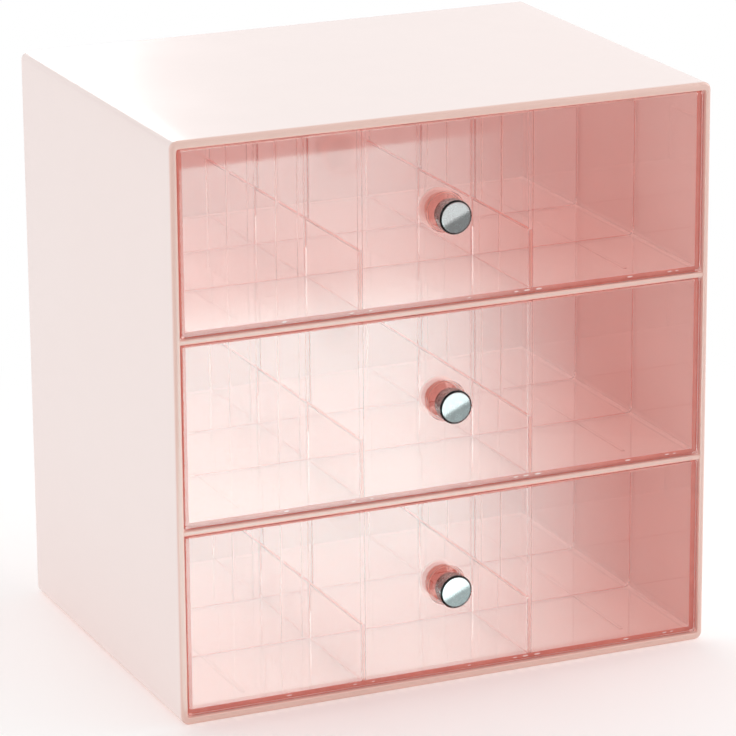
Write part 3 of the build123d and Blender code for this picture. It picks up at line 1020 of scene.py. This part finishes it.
def build_card_material(settings, start, across):
    """Cool white light that fades out towards the card's right edge, its near end and its far end.

    Only rays that graze it and have crossed one clear plate at most see it, mirrored or through the plate.
    """
    material, tree, shader, place = start_material("card_white")
    tree.nodes.remove(shader)
    ahead = (0.0, -1.0)
    fades = []
    for direction, fade in ((across, CARD_SIDE), (ahead, CARD_NEAR_END), (ahead, CARD_FAR_END)):
        near, far, low, high = fade
        offset = float(np.dot(start, direction))
        distance = vector_math(tree, "DOT_PRODUCT", place, (*direction, 0.0))
        fades.append(ramp(tree, distance, near + offset, far + offset, low, high))
    facing = tree.nodes.new("ShaderNodeLayerWeight").outputs["Facing"]
    depth = tree.nodes.new("ShaderNodeLightPath").outputs["Transmission Depth"]
    fades += [ramp(tree, facing, *CARD_GRAZE), math_in(tree, "LESS_THAN", depth, CARD_PLATE_FACES)]
    strength = fades[0]
    for fade in fades[1:]:
        strength = math_in(tree, "MULTIPLY", strength, fade)
    glow = tree.nodes.new("ShaderNodeEmission")
    glow.inputs["Color"].default_value = (*settings.card_colour, 1.0)
    glow_strength = math_in(tree, "MULTIPLY", strength, settings.card_strength)
    tree.links.new(glow_strength, glow.inputs["Strength"])
    through = tree.nodes.new("ShaderNodeBsdfTransparent")
    both = tree.nodes.new("ShaderNodeAddShader")
    tree.links.new(glow.outputs[0], both.inputs[0])
    tree.links.new(through.outputs[0], both.inputs[1])
    put_out(tree, both.outputs[0])
    material.cycles.emission_sampling = "NONE"
    return material


def build_camera(settings):
    """The camera: tilted down, turned to the right and rolled a little about its own axis."""
    camera = bpy.data.cameras.new("camera")
    camera.lens = settings.camera_lens
    camera.clip_end = 50.0
    holder = bpy.data.objects.new("camera", camera)
    down, right, roll = settings.camera_turn
    turn = Euler((math.pi / 2 - down, 0.0, -right)).to_matrix() @ Matrix.Rotation(roll, 3, "Z")
    holder.matrix_world = Matrix.Translation(settings.camera_place) @ turn.to_4x4()
    bpy.context.scene.collection.objects.link(holder)
    bpy.context.scene.camera = holder


class ORGANIZER_PT_panel(bpy.types.Panel):
    """Lists the pieces and their settings"""
    bl_label = "Organizer"
    bl_idname = "ORGANIZER_PT_panel"
    bl_space_type = "VIEW_3D"
    bl_region_type = "UI"
    bl_category = "Organizer"

    def draw(self, context):
        for operator in OPERATORS:
            self.layout.operator(operator.bl_idname)
        for name in SETTINGS:
            box = self.layout.box()
            group = getattr(context.scene, name)
            for key in group.bl_rna.properties.keys():
                if key not in ("rna_type", "name"):
                    box.prop(group, key)


GROUPS = {"Moulded surface": build_moulding_group, "Colour drift": build_drift_group}
SETTINGS = {
    "organizer_casing": ORGANIZER_PG_casing,
    "organizer_clear": ORGANIZER_PG_clear,
    "organizer_knob": ORGANIZER_PG_knob,
    "organizer_stage": ORGANIZER_PG_stage,
}
OPERATORS = (
    ORGANIZER_OT_casing, ORGANIZER_OT_drawers, ORGANIZER_OT_edges, ORGANIZER_OT_knobs, ORGANIZER_OT_stage,
)


def shared_groups():
    """The shader node groups of the moulded surface and the colour drift, built at the first call."""
    return [bpy.data.node_groups.get(name) or build() for name, build in GROUPS.items()]


def register():
    for cls in (*SETTINGS.values(), *OPERATORS, ORGANIZER_PT_panel):
        bpy.utils.register_class(cls)
    for name, cls in SETTINGS.items():
        setattr(bpy.types.Scene, name, bpy.props.PointerProperty(type=cls))


def unregister():
    for name in SETTINGS:
        delattr(bpy.types.Scene, name)
    for cls in (ORGANIZER_PT_panel, *OPERATORS, *SETTINGS.values()):
        bpy.utils.unregister_class(cls)


def main():
    """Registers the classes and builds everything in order."""
    register()
    bpy.ops.organizer.casing()
    bpy.ops.organizer.drawers()
    bpy.ops.organizer.edges()
    bpy.ops.organizer.knobs()
    bpy.ops.organizer.stage()


if __name__ == "__main__":
    main()
